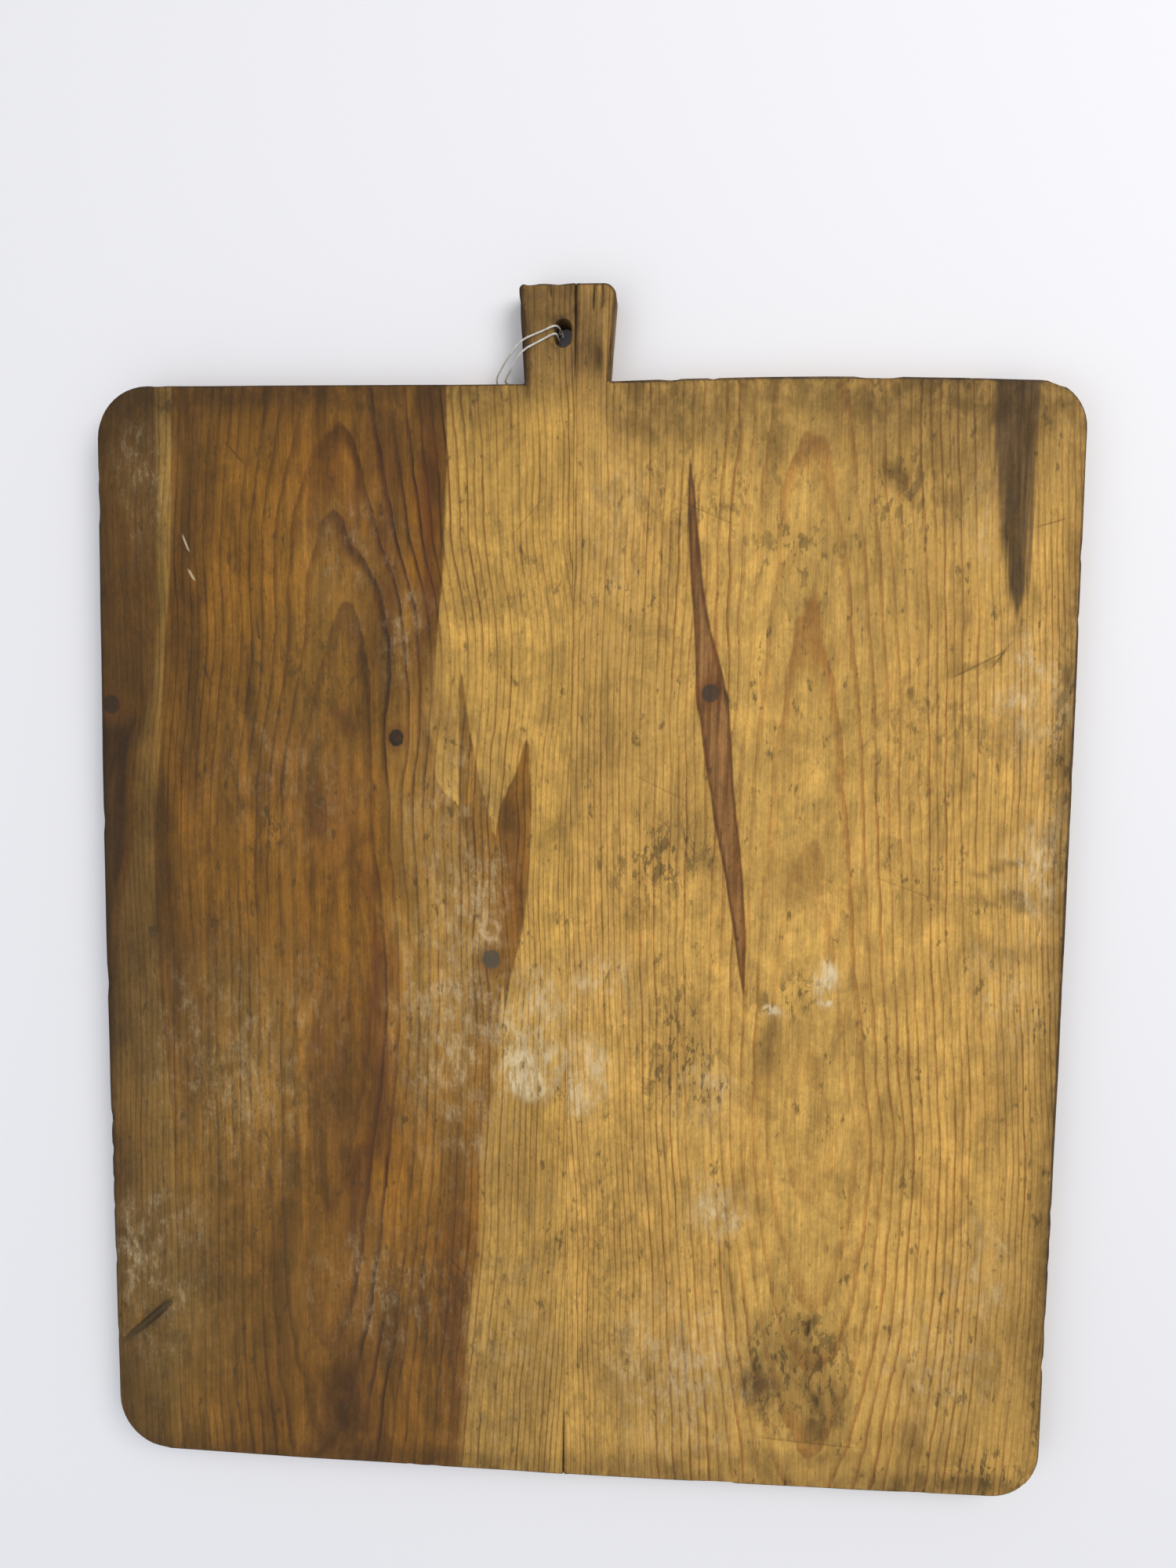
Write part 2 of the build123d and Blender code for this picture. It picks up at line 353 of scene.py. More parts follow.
rightMarks = {
    # the first mark, along the handle's right round-over, is a painted highlight where it catches the light
    "rubbedAndHighlight": [(15.6, 290, 5.0, 52, -3.7, 0.4, 1.0), (8, 311, 14, 6, 0, 0.8, 0.6),
               (2, 262, 20, 16, 0, 1.0, 0.5)],
    "haze": [(2, -92, 30, 44, 0, 0.7, 0.75), (16, -40, 40, 30, 0, 0.9, 0.45),
             (131, -34, 8, 20, 0, 0.6, 1.0), (104, -50, 12, 8, 0, 0.6, 0.9),
             (133, -49, 8, 8, 0, 0.6, 0.9), (78, -162, 30, 22, 0, 0.8, 0.75),
             (70, -100, 30, 40, 0, 0.9, 0.4), (60, -250, 70, 80, 0, 0.9, 0.5),
             (236, 24, 30, 60, 0, 0.9, 0.6), (228, 110, 40, 60, 0, 0.9, 0.5),
             (218, -190, 30, 50, 0, 0.9, 0.4), (200, 200, 20, 60, 0, 1.0, 0.3),
             (196, -240, 60, 60, 0, 1.0, 0.35), (20, 190, 30, 90, 0, 1.0, 0.25),
             (226, -40, 40, 60, 0, 0.9, 0.35)],
    "dark": [(160, 222, 8, 32, 34, 0.6, 0.75), (184, 214, 7, 28, 20, 0.8, 0.5),
             (219, 25, 34, 4.5, 0, 0.8, 0.6), (219, 8, 36, 5, 2, 0.8, 0.65),
             (222, -20, 36, 8, 0, 0.9, 0.4), (206, 132, 3.5, 36, -66, 0.7, 0.5),
             (186, 121, 2.5, 34, -60, 0.7, 0.35), (124, -250, 44, 60, 20, 0.9, 0.7),
             (103, -256, 20, 22, 0, 0.8, 0.9), (133, -268, 12, 34, 0, 0.8, 0.9),
             (127, -226, 8, 16, -20, 0.7, 1.0), (146, -262, 8, 34, 14, 0.8, 0.8),
             (60, -68, 24, 44, 0, 0.9, 0.35), (105, -70, 10, 36, 0, 0.8, 0.6),
             (60, 40, 60, 40, 0, 0.9, 0.25), (200, -303, 110, 12, 0, 0.9, 0.6),
             (120, -296, 120, 12, 0, 0.9, 0.5), (180, -285, 90, 20, 0, 0.9, 0.35),
             (30, 250, 50, 30, 0, 1.0, 0.35), (98, 222, 10, 60, 0, 0.8, 0.45),
             (246, -190, 16, 140, 0, 0.9, 0.5), (22, 90, 50, 60, 0, 1.0, 0.25),
             (246, 90, 14, 160, 0, 0.9, 0.4), (138, 246, 30, 40, 0, 1.0, 0.3),
             (107, 118, 10, 22, 0, 0.8, 0.5), (11.6, 291, 1.2, 46, -3.7, 0.5, 0.9),
             (6, 284, 6, 16, 0, 0.9, 0.5), (-0.5, 291, 1.6, 50, 0, 0.6, 0.6),
             (28, -250, 60, 60, 0, 1.0, 0.2), (150, 170, 60, 60, 0, 1.0, 0.25),
             (206, 256, 110, 80, 0, 1.0, 0.5), (236, -80, 40, 90, 0, 1.0, 0.25),
             (238, -225, 40, 170, 0, 1.0, 0.3), (60, -300, 130, 12, 0, 0.9, 0.4)],
    "red": [(18.0, 290, 2.6, 50, -3.7, 0.5, 0.5), (128, -112, 4, 60, 0, 0.8, 0.5),
            (127, 132, 14, 20, 0, 0.9, 0.4), (118, 14, 22, 30, 0, 0.9, 0.35),
            (152, -60, 4, 120, 4, 0.9, 0.35), (148, -183, 8, 22, -20, 0.8, 0.6),
            (145, -50, 5, 26, 10, 0.8, 0.6)],
    "specks": [(44, 24, 44, 50, 0, 0.8, 0.85), (28, 158, 56, 8, 0, 0.7, 0.9),
               (124, -245, 60, 70, 0, 0.8, 0.9), (58, -76, 40, 70, 0, 0.8, 0.8),
               (112, -44, 40, 24, 0, 0.7, 0.9), (225, -300, 50, 20, 0, 0.8, 1.0),
               (160, 215, 40, 50, 0, 0.8, 0.7), (70, 210, 90, 90, 0, 1.0, 0.5),
               (75, -95, 30, 20, 0, 0.8, 0.8), (110, 180, 50, 40, 0, 0.9, 0.7),
               (180, 90, 80, 50, 0, 1.0, 0.5), (20, -200, 50, 160, 0, 1.0, 0.4),
               (244, 80, 14, 120, 0, 0.9, 0.8)],
    "olive": [(20, 120, 60, 160, 0, 1.0, 0.6), (60, 240, 160, 50, 0, 1.0, 0.5),
              (170, 210, 110, 110, 0, 1.0, 0.6), (200, -250, 90, 100, 0, 1.0, 0.5),
              (40, -240, 80, 100, 0, 1.0, 0.45), (130, 110, 60, 90, 0, 1.0, 0.4),
              (224, 20, 60, 80, 0, 1.0, 0.4)],
}

# colours of stains and wood marks; arrisColour, stripColour and darkColour also carry painted shade
markAndShadeColours = {
    "hazeColour": paint(216, 194, 152),
    "darkColour": paint(66, 45, 22),
    "redColour": paint(96, 50, 22),
    "oliveColour": paint(104, 86, 38),
    "stripColour": paint(92, 64, 26),
    "speckColour": paint(60, 50, 28),
    "amberColour": paint(188, 132, 58),
    "lensEarly": paint(172, 122, 72),
    "lensLate": paint(100, 58, 26),
    "streakColour": paint(68, 49, 27),
    "streakPale": paint(112, 84, 50),
    "edgeStreakColour": paint(56, 36, 18),
    "handleColour": paint(108, 81, 45),
    "arrisColour": paint(50, 36, 20),
    "scratchPale": paint(226, 208, 168),
}


def inBand(tree, across, along, middleLine, halfLine, jitter, softness=0.7, strength=1.0):
    # inside a long lens or streak whose middle and half width follow given curves
    far = maths(tree, "ABSOLUTE", minus(tree, across, alongGrain(tree, along, middleLine)))
    inside = plus(tree, minus(tree, alongGrain(tree, along, halfLine), far), jitter)
    return fade(tree, inside, -softness, softness, 0.0, strength)


def ringsOf(tree, place, across, along, height, figure):
    # late wood from 0 to 1: rings about a pith line that lies under the board, and part round each knot
    shift = figure["noiseShift"]
    slow = centred(tree, grainNoise(tree, place, (0.004, 0.0035, 0.004), 1.0, 0.4, shift), 9.0)
    middle = centred(tree, grainNoise(tree, place, (0.02, 0.009, 0.02), 2.0, 0.5, shift + 5), 5.0)
    fine = centred(tree, grainNoise(tree, place, (0.16, 0.03, 0.16), 3.0, 0.55, shift + 9), 2.0)
    wandered = plus(tree, across, plus(tree, plus(tree, slow, middle), fine))
    for x, y, wide, long, push in figure["bends"]:
        fromKnot = minus(tree, across, x)
        upFrom = minus(tree, along, y)
        inWidths = maths(tree, "ABSOLUTE", maths(tree, "DIVIDE", fromKnot, wide * 1.6))
        nearX = maths(tree, "POWER", inWidths, 2.0)
        nearY = maths(tree, "POWER", maths(tree, "ABSOLUTE", maths(tree, "DIVIDE", upFrom, long / 2)), 2.0)
        near = maths(tree, "EXPONENT", times(tree, plus(tree, nearX, nearY), -1.0))
        side = maths(tree, "DIVIDE", fromKnot, plus(tree, maths(tree, "ABSOLUTE", fromKnot), wide * 0.4))
        wandered = maths(tree, "MULTIPLY_ADD", times(tree, near, side), -push, wandered)
    fromPith = minus(tree, wandered, alongGrain(tree, along, figure["pithAcross"]))
    depthNoise = centred(tree, grainNoise(tree, place, (0.03, 0.02, 0.03), 3.0, 0.55, shift + 2), 5.0)
    depth = plus(tree, alongGrain(tree, along, figure["pithDepth"]), depthNoise)
    below = plus(tree, depth, minus(tree, height, pine["faceHeight"]))
    squares = plus(tree, times(tree, fromPith, fromPith), times(tree, below, below))
    radius = maths(tree, "SQRT", squares)
    perRadius = maths(tree, "MULTIPLY_ADD", radius, pine["ringSquare"], pine["ringLinear"])
    count = maths(tree, "MULTIPLY_ADD", radius, perRadius, figure["ringStart"])
    inRing = maths(tree, "FRACT", count)
    draw = newNode(tree, "ShaderNodeTexWhiteNoise", noise_dimensions="1D")
    feed(tree, draw.inputs["W"], maths(tree, "FLOOR", count))
    strength = maths(tree, "MULTIPLY_ADD", draw.outputs["Value"], 0.6, 0.5)
    comeAndGo = grainNoise(tree, place, (0.05, 0.008, 0.05), 2.0, 0.5, shift + 13)
    comeAndGo = fade(tree, comeAndGo, 0.3, 0.6, 0.45, 1.1)
    late = times(tree, fade(tree, inRing, 0.56, 0.9), fade(tree, inRing, 0.93, 1.0, 1.0, 0.0))
    late = times(tree, late, fade(tree, radius, 34.0, 60.0, figure["innerLines"], 1.0))
    return times(tree, late, times(tree, strength, comeAndGo), clamp=True)


def shadedBy(tree, colour, *shades):
    total = shades[0]
    for shade in shades[1:]:
        total = times(tree, total, shade)
    grey = newNode(tree, "ShaderNodeCombineColor")
    for socket in grey.inputs:
        feed(tree, socket, total)
    return blendColour(tree, 1.0, colour, grey.outputs[0], "MULTIPLY")


def pineMaterial(name, figure, isLeft):
    material, tree, shader = newMaterial(name)
    place = inMillimetres(tree)
    axes = newNode(tree, "ShaderNodeSeparateXYZ")
    feed(tree, axes.inputs[0], place)
    across, along, height = axes.outputs
    shift = figure["noiseShift"]
    late = ringsOf(tree, place, across, along, height, figure)

    def painted(layer):
        return newNode(tree, "ShaderNodeAttribute", attribute_name=layer).outputs["Fac"]

    # fibres, pores and mottling at several sizes
    fibre = grainNoise(tree, place, (1.1, 0.035, 1.1), 3.0, 0.6, shift + 20)
    fibreCoarse = grainNoise(tree, place, (0.28, 0.012, 0.28), 2.0, 0.5, shift + 30)
    mottle = grainNoise(tree, place, (0.11, 0.07, 0.11), 5.0, 0.62, shift + 40, 0.4)
    cloud = grainNoise(tree, place, (0.026, 0.018, 0.026), 4.0, 0.6, shift + 50, 0.5)
    grit = grainNoise(tree, place, (0.7, 0.42, 0.7), 3.0, 0.65, shift + 60)
    edgeJitter = centred(tree, fibre, 2.4)

    colour = blendColour(tree, late, figure["sapEarly"], figure["sapLate"])
    if isLeft:
        heartLines = times(tree, late, fade(tree, across, -135.0, -98.0, 0.55, 1.0))
        lowerLines = larger(tree, fade(tree, along, -80.0, 90.0, 0.5, 1.0), fade(tree, across, -92.0, -99.0))
        heartLines = times(tree, heartLines, lowerLines)
        heartwood = blendColour(tree, heartLines, figure["heartEarly"], figure["heartLate"])
        streaky = grainNoise(tree, place, (0.085, 0.0085, 0.085), 5.0, 0.66, shift + 35, 0.3)
        feather = times(tree, centred(tree, streaky, 22.0), fade(tree, along, -60.0, 20.0, 1.0, 0.25))
        toRight = minus(tree, alongGrain(tree, along, heartRight), across)
        toRight = plus(tree, toRight, plus(tree, edgeJitter, feather))
        toLeft = plus(tree, minus(tree, across, alongGrain(tree, along, heartLeft)), edgeJitter)
        toStripe = plus(tree, minus(tree, alongGrain(tree, along, stripeLeft), across), edgeJitter)
        stripeFades = fade(tree, along, -190.0, -60.0, 0.75, 0.22)
        middleHeart = fade(tree, toLeft, -1.2, 0.8)
        sideHeart = fade(tree, toStripe, -1.5, 2.5)
        eitherHeart = larger(tree, larger(tree, middleHeart, sideHeart), stripeFades)
        edgeSoftness = fade(tree, along, -70.0, -20.0, 3.2, 0.7)
        insideRight = fade(tree, maths(tree, "DIVIDE", toRight, edgeSoftness), -1.0, 1.0)
        heart = times(tree, insideRight, eitherHeart)
        flame = inBand(tree, across, along, flameMiddle, flameHalf, edgeJitter, 0.7, 0.9)
        tongue = inBand(tree, across, along, tongueMiddle, tongueHalf, edgeJitter, 0.7, 0.8)
        bleached = times(tree, heart, painted("tan"))
        heart = maths(tree, "MULTIPLY_ADD", bleached, fade(tree, mottle, 0.35, 0.65, -0.75, -0.35), heart)
        heart = larger(tree, heart, larger(tree, flame, tongue))
        heartwood = shadedBy(tree, heartwood, fade(tree, streaky, 0.34, 0.66, 0.62, 1.24))
        colour = blendColour(tree, heart, colour, heartwood)
        # darker towards the left edge: painted shade along with the wood's own darker tone
        sideShade = fade(tree, across, -213.0, -207.0, 0.86, 1.0)
        sideShade = times(tree, sideShade, fade(tree, toStripe, -8.0, 3.0, 1.0, 0.72))
        outerShade = fade(tree, across, -100.0, -66.0, 1.0, 0.74)
        outerUp = fade(tree, along, 60.0, 150.0, 1.0, 0.0)
        outerShade = maths(tree, "MULTIPLY_ADD", outerUp, minus(tree, 1.0, outerShade), outerShade)
        outerShade = larger(tree, outerShade, minus(tree, 1.0, heart))
        # darker towards the left again: painted shade along with the wood's own tone
        innerShade = fade(tree, across, -205.0, -165.0, 0.82, 1.0)
        colour = shadedBy(tree, colour, sideShade, outerShade, innerShade)
        # the left strip blends to a dark warm brown: painted shade along with dirty sapwood
        stripWarmth = fade(tree, across, -224.0, -214.0, 0.66, 0.0)
        stripWarmth = times(tree, stripWarmth, fade(tree, cloud, 0.3, 0.65, 1.0, 0.6))
        colour = blendColour(tree, stripWarmth, colour, markAndShadeColours["stripColour"])
        streakUp = fade(tree, along, 84.0, 100.0, 1.0, 0.0)
        streakDown = fade(tree, along, -60.0, -30.0)
        edgeStreak = times(tree, streakUp, streakDown)
        edgeStreak = times(tree, edgeStreak, fade(tree, toStripe, 4.0, 7.0, 0.0, 0.85))
        colour = blendColour(tree, edgeStreak, colour, markAndShadeColours["edgeStreakColour"])
    else:
        lensWood = blendColour(tree, fade(tree, fibreCoarse, 0.35, 0.65), markAndShadeColours["lensEarly"], markAndShadeColours["lensLate"])
        lensJitter = plus(tree, times(tree, edgeJitter, 0.6), centred(tree, fibreCoarse, 3.0))
        lensDeep = inBand(tree, across, along, lensMiddle, lensHalf, minus(tree, lensJitter, 1.6), 1.2)
        lensWood = blendColour(tree, lensDeep, markAndShadeColours["lensLate"], lensWood)
        lens = inBand(tree, across, along, lensMiddle, lensHalf, lensJitter, 0.6, 0.94)
        colour = blendColour(tree, lens, colour, lensWood)
        streakJitter = centred(tree, fibreCoarse, 12.0)
        streak = inBand(tree, across, along, streakMiddle, streakHalf, streakJitter, 2.0, 0.9)
        palePart = fade(tree, fibreCoarse, 0.38, 0.62)
        streakWood = blendColour(tree, palePart, markAndShadeColours["streakColour"], markAndShadeColours["streakPale"])
        colour = blendColour(tree, streak, colour, streakWood)

    amber = grainNoise(tree, place, (0.04, 0.012, 0.04), 5.0, 0.62, shift + 95, 0.4)
    amber = fade(tree, amber, 0.46, 0.72, 0.0, figure["amberShare"])
    colour = blendColour(tree, amber, colour, markAndShadeColours["amberColour"])
    # the handle is dark from hands
    handleWide = fade(tree, maths(tree, "ABSOLUTE", plus(tree, across, 5.3)), 20.0, 34.0, 1.0, 0.0)
    grease = times(tree, fade(tree, along, 240.0, 280.0, 0.0, 0.9), handleWide)
    grease = times(tree, grease, fade(tree, mottle, 0.3, 0.7, 0.7, 1.0))
    # less grease where the handle is rubbed, and a painted highlight along its right round-over
    grease = times(tree, grease, fade(tree, painted("rubbedAndHighlight"), 0.1, 0.9, 1.0, 0.62))
    greased = blendColour(tree, times(tree, late, 0.55), markAndShadeColours["handleColour"], markAndShadeColours["arrisColour"])
    colour = blendColour(tree, grease, colour, greased)
    colour = shadedBy(
        tree, colour,
        fade(tree, fibre, 0.3, 0.72, 0.8, 1.09),
        fade(tree, fibreCoarse, 0.3, 0.7, 0.9, 1.06),
        fade(tree, mottle, 0.32, 0.68, 0.84, 1.1),
        fade(tree, cloud, 0.3, 0.7, 0.88, 1.08),
        fade(tree, grit, 0.3, 0.7, 0.88, 1.07))

    # stains, mould film and specks are vertex paint, broken up here by noise; the dark layer also holds
    # painted shade along the handle's left arris
    onFace = fade(tree, height, 13.0, 17.5)
    red = times(tree, painted("red"), fade(tree, fibreCoarse, 0.3, 0.55, 0.45, 1.0))
    colour = blendColour(tree, times(tree, red, 0.8), colour, markAndShadeColours["redColour"])
    olive = times(tree, painted("olive"), fade(tree, mottle, 0.4, 0.64, 0.1, 0.9))
    oliveEverywhere = fade(tree, cloud, 0.55, 0.8, 0.0, 0.4)
    olive = times(tree, larger(tree, olive, oliveEverywhere), 0.5)
    colour = blendColour(tree, olive, colour, markAndShadeColours["oliveColour"])
    dark = times(tree, painted("dark"), fade(tree, mottle, 0.34, 0.6, 0.5, 1.0))
    colour = blendColour(tree, times(tree, dark, onFace), colour, markAndShadeColours["darkColour"])
    film = painted("haze")
    curdNoise = grainNoise(tree, place, (0.15, 0.09, 0.15), 8.0, 0.74, shift + 80, 0.1)
    strokes = fade(tree, grainNoise(tree, place, (0.45, 0.09, 0.45), 4.0, 0.7, shift + 85), 0.42, 0.58)
    curds = fade(tree, maths(tree, "MULTIPLY_ADD", film, 0.2, curdNoise), 0.5, 0.72)
    milky = maths(tree, "MULTIPLY_ADD", curds, 0.85, 0.1)
    milky = times(tree, milky, maths(tree, "MULTIPLY_ADD", strokes, 0.85, 0.35))
    film = times(tree, film, milky, clamp=True)
    colour = blendColour(tree, times(tree, film, onFace), colour, markAndShadeColours["hazeColour"])
    speckNoise = grainNoise(tree, place, (0.3, 0.11, 0.3), 4.0, 0.62, shift + 70)
    clumpNoise = grainNoise(tree, place, (0.12, 0.055, 0.12), 5.0, 0.66, shift + 75, 0.5)
    smuts = larger(tree, fade(tree, speckNoise, 0.56, 0.61), fade(tree, clumpNoise, 0.55, 0.61, 0.0, 0.9))
    speckMask = times(tree, painted("specks"), smuts)
    speckEverywhere = maths(tree, "MULTIPLY_ADD", clumpNoise, 0.7, speckNoise)
    speckEverywhere = fade(tree, speckEverywhere, 0.97, 1.1, 0.0, 0.75)
    speck = times(tree, larger(tree, speckMask, speckEverywhere), times(tree, onFace, 0.78))
    colour = blendColour(tree, speck, colour, markAndShadeColours["speckColour"])
    smudge = grainNoise(tree, place, (0.05, 0.028, 0.05), 6.0, 0.68, shift + 90, 0.8)
    colour = shadedBy(tree, colour, fade(tree, smudge, 0.4, 0.66, 1.05, 0.78))

    # knots, with a little raggedness
    wobble = newNode(tree, "ShaderNodeTexNoise")
    feed(tree, wobble.inputs["Vector"], place)
    wobble.inputs["Scale"].default_value = 0.3
    wobbleBy = newNode(tree, "ShaderNodeVectorMath", operation="MULTIPLY_ADD")
    feed(tree, wobbleBy.inputs[0], wobble.outputs["Color"])
    wobbleBy.inputs[1].default_value = (1.6, 1.6, 0.0)
    feed(tree, wobbleBy.inputs[2], place)
    knotPlace = wobbleBy.outputs[0]
    for x, y, wide, long, power, knotColour in figure["knots"]:
        halo = times(tree, spot(tree, knotPlace, x, y, wide * 1.5, long * 1.8, 0.0, 0.4), 0.5 * power)
        colour = blendColour(tree, halo, colour, markAndShadeColours["lensLate"])
        core = times(tree, spot(tree, knotPlace, x, y, wide, long, 0.0, 0.16), 0.98 * power)
        core = times(tree, core, fade(tree, grit, 0.3, 0.7, 0.78, 1.0))
        colour = blendColour(tree, core, colour, knotColour)
    for x, y, wide, long in figure["paleRings"]:
        outside = spot(tree, knotPlace, x, y, wide, long, 0.0, 0.18)
        hollow = spot(tree, knotPlace, x, y, wide * 0.6, long * 0.6, 0.0, 0.3)
        ring = minus(tree, outside, hollow, clamp=True)
        ring = times(tree, ring, fade(tree, curdNoise, 0.4, 0.62, 0.12, 0.5))
        colour = blendColour(tree, ring, colour, markAndShadeColours["hazeColour"])
    cuts = painted("cuts")
    colour = blendColour(tree, fade(tree, cuts, 0.15, 0.8, 0.0, 0.7), colour, markAndShadeColours["speckColour"])
    colour = blendColour(tree, fade(tree, painted("flecks"), 0.2, 0.8, 0.0, 0.5), colour, markAndShadeColours["scratchPale"])

    # the rim and ends hold dirt; the rounded arrises get painted shade
    rimSide = fade(tree, maths(tree, "ABSOLUTE", across), 236.0, 254.0)
    rimTop = times(tree, fade(tree, along, 222.0, 268.0), minus(tree, 1.0, handleWide))
    rimFoot = fade(tree, along, -296.0, -316.0)
    rim = larger(tree, rimSide, larger(tree, rimTop, rimFoot))
    rim = times(tree, rim, times(tree, fade(tree, mottle, 0.3, 0.62, 0.15, 0.62), onFace))
    colour = blendColour(tree, rim, colour, markAndShadeColours["arrisColour"])
    # painted shade: the colour darkens wherever the surface turns from straight up, as on the rounded arrises
    facing = newNode(tree, "ShaderNodeSeparateXYZ")
    feed(tree, facing.inputs[0], newNode(tree, "ShaderNodeNewGeometry").outputs["Normal"])
    flatness = maths(tree, "ABSOLUTE", facing.outputs["Z"])
    arrisShade = times(tree, fade(tree, flatness, 0.7, 0.998, 0.9, 0.0), fade(tree, mottle, 0.3, 0.7, 0.7, 1.0))
    arrisShade = times(tree, arrisShade, fade(tree, flatness, 0.08, 0.45, 0.42, 1.0))    # ends and sides stay lighter
    colour = blendColour(tree, arrisShade, colour, markAndShadeColours["arrisColour"])
    feed(tree, shader.inputs["Base Color"], colour)

    roughness = maths(tree, "MULTIPLY_ADD", late, -0.08, fade(tree, mottle, 0.3, 0.7, 0.62, 0.78))
    feed(tree, shader.inputs["Roughness"], roughness)
    shader.inputs["Specular IOR Level"].default_value = 0.25
    relief = maths(tree, "MULTIPLY_ADD", fibre, 0.55, times(tree, late, 0.6))
    relief = maths(tree, "MULTIPLY_ADD", grit, 0.4, relief)
    addBump(tree, shader, relief, pine["bumpStrength"], pine["bumpDepth"])
    return material


leftPine = pineMaterial("heartPine", leftFigure, True)
rightPine = pineMaterial("goldenPine", rightFigure, False)
print("pine materials made")


# ---- planks, cut into a fine grid, then worn

wear = {
    "cell": 3.0,
    "quickCell": 6.0,
    "layers": (5.0, 10.0, 15.0),
    "seamX": -1.25,
    "seamStrips": (0.25, 0.6, 1.2),
    "seamShut": 0.15,        # depth of the joint's groove where the glue holds
    "seamOpen": 1.0,         # and where it has failed, at the handle's end and at the foot
    "seamGape": 0.05,
    "openFrom": (262.0, 308.0),
    "openFoot": (-270.0, -312.0),
    "aboveBores": 14.3,      # the dowel bores reach up to 14 mm and stay true
    "boreReach": 27.0,       # how far they reach from the joint, and along it from the middle
    "boresWithin": 255.0,
    "marksFrom": (2.0, 6.0), # cuts and flecks fade out below this, so the underside has none
    "dish": 0.4,             # hollow worn in the middle of the cutting face
    "ripple": 0.22,
    "edgeLoss": 0.3,
    "nickDepth": 1.5,
    "roundWidth": 6.5,       # worn round-over of the handle's right arris
    "roundDrop": 2.1,
    "shoulderY": 265.5,      # the handle starts here
    "handleLength": 49.0,
    "rootLeftX": -27.0,
    "rootRightX": 16.4,
    "flare": 3.2,
    "slotX": -7.45,
    "slotY": 289.8,
    "slotRubY": 290.4,       # the line rubs a little above the slot's middle
}

# x and y of both ends, width and depth: the gash, splits in the handle's end, and knife cuts
leftCuts = [(-250, -254, -212, -220, 4.6, 0.9), (-238, -244, -219, -227, 5.4, 0.6),
            (-14, 315, -13.4, 305, 0.8, 0.5), (-183, 238, -170, 224, 1.2, 0.35),
            (-52, -208, -66, -192, 0.8, 0.25), (-128, -226, -118, -252, 0.8, 0.2),
            (-36, 186, -12, 214, 0.7, 0.2), (-166, 148, -165, 134, 1.6, 0.4)]
rightCuts = [(8, 315, 7.6, 298, 0.9, 0.8), (12, 315, 12.2, 307, 0.7, 0.5),
             (186, 118, 224, 138, 1.4, 0.3), (206, 121, 222, 143, 0.9, 0.25),
             (46, 210, 88, 192, 0.7, 0.2), (28, 70, 66, 52, 0.7, 0.18), (226, 194, 246, 200, 1.0, 0.3),
             (96, -286, 168, -290, 0.8, 0.25), (150, 20, 196, 4, 0.7, 0.18)]
leftFlecks = [(-205, 190, -201, 180, 1.6), (-202, 172, -198, 165, 2.0)]
rightFlecks = [(131, -24, 132, -42, 3.0), (101, -52, 104, -48, 3.4), (133, -50, 135, -46, 3.4)]


def editMode(piece):
    makeActive(piece)
    bpy.ops.object.mode_set(mode="EDIT")


def objectMode():
    bpy.ops.object.mode_set(mode="OBJECT")


def selectFaces(piece, test):
    # in edit mode: selects the faces whose middle, in mm, passes the test
    shape = bmesh.from_edit_mesh(piece.data)
    for face in shape.faces:
        face.select_set(test(face.calc_center_median() / mm))
    bmesh.update_edit_mesh(piece.data)


def cutAt(place, normal):
    # cuts what is selected along a plane given in mm
    bpy.ops.mesh.bisect(plane_co=Vector(place) * mm, plane_no=normal)


def besideLine(middle, x1, y1, x2, y2, reach):
    # whether a place is within reach of the line between two points on the face
    run = Vector((x2 - x1, y2 - y1))
    offset = Vector((middle.x - x1, middle.y - y1))
    share = min(max(offset.dot(run) / run.length_squared, -0.02), 1.02)
    return (offset - run * share).length < reach


def griddedPlank(nodeName, pieceName, cuts):
    # a merged copy of the plank, cut fine enough to be worn, split and dented
    piece = inScene(pieceName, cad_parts[nodeName].data.copy())
    piece.data.materials.clear()
    editMode(piece)
    bpy.ops.mesh.select_all(action="SELECT")
    bpy.ops.mesh.remove_doubles(threshold=1e-6)
    bpy.ops.mesh.dissolve_limited(angle_limit=math.radians(0.5))
    low, high = (Vector(corner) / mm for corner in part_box(nodeName))
    cell = wear["cell"]
    for axis in (0, 1):
        count = round((high[axis] - low[axis]) / cell)
        normal = Vector((axis == 0, axis == 1, 0))
        for step in range(1, count):
            bpy.ops.mesh.select_all(action="SELECT")
            cutAt(normal * (low[axis] + (high[axis] - low[axis]) * step / count), normal)
    for layer in wear["layers"]:
        bpy.ops.mesh.select_all(action="SELECT")
        cutAt((0, 0, layer), (0, 0, 1))
    side = math.copysign(1.0, (low.x + high.x) / 2 - wear["seamX"])
    for strip in wear["seamStrips"]:
        bpy.ops.mesh.select_all(action="SELECT")
        cutAt((wear["seamX"] + side * strip, 0, 0), (1, 0, 0))
    for x1, y1, x2, y2, width, depth in cuts:
        sideways = Vector((y1 - y2, x2 - x1, 0)).normalized()
        for offset in (-0.5, -0.2, 0.2, 0.5):
            reach = width / 2 + 3
            selectFaces(piece, lambda middle: middle.z > 19.5 and besideLine(middle, x1, y1, x2, y2, reach))
            cutAt(Vector((x1, y1, 0)) + sideways * offset * width, sideways)
    objectMode()
    return piece


def pointsOf(piece):
    flat = np.empty(len(piece.data.vertices) * 3)
    piece.data.vertices.foreach_get("co", flat)
    return flat.reshape(-1, 3) / mm


def putPoints(piece, points):
    piece.data.vertices.foreach_set("co", (points * mm).ravel())
    piece.data.update()


def noiseAt(points, scale, shift):
    # smooth noise from about -1 to 1 at each point; scale is per mm along X, Y and Z
    stretched = points * np.array(scale) + shift
    return np.array([noise.noise(Vector(place)) for place in stretched])


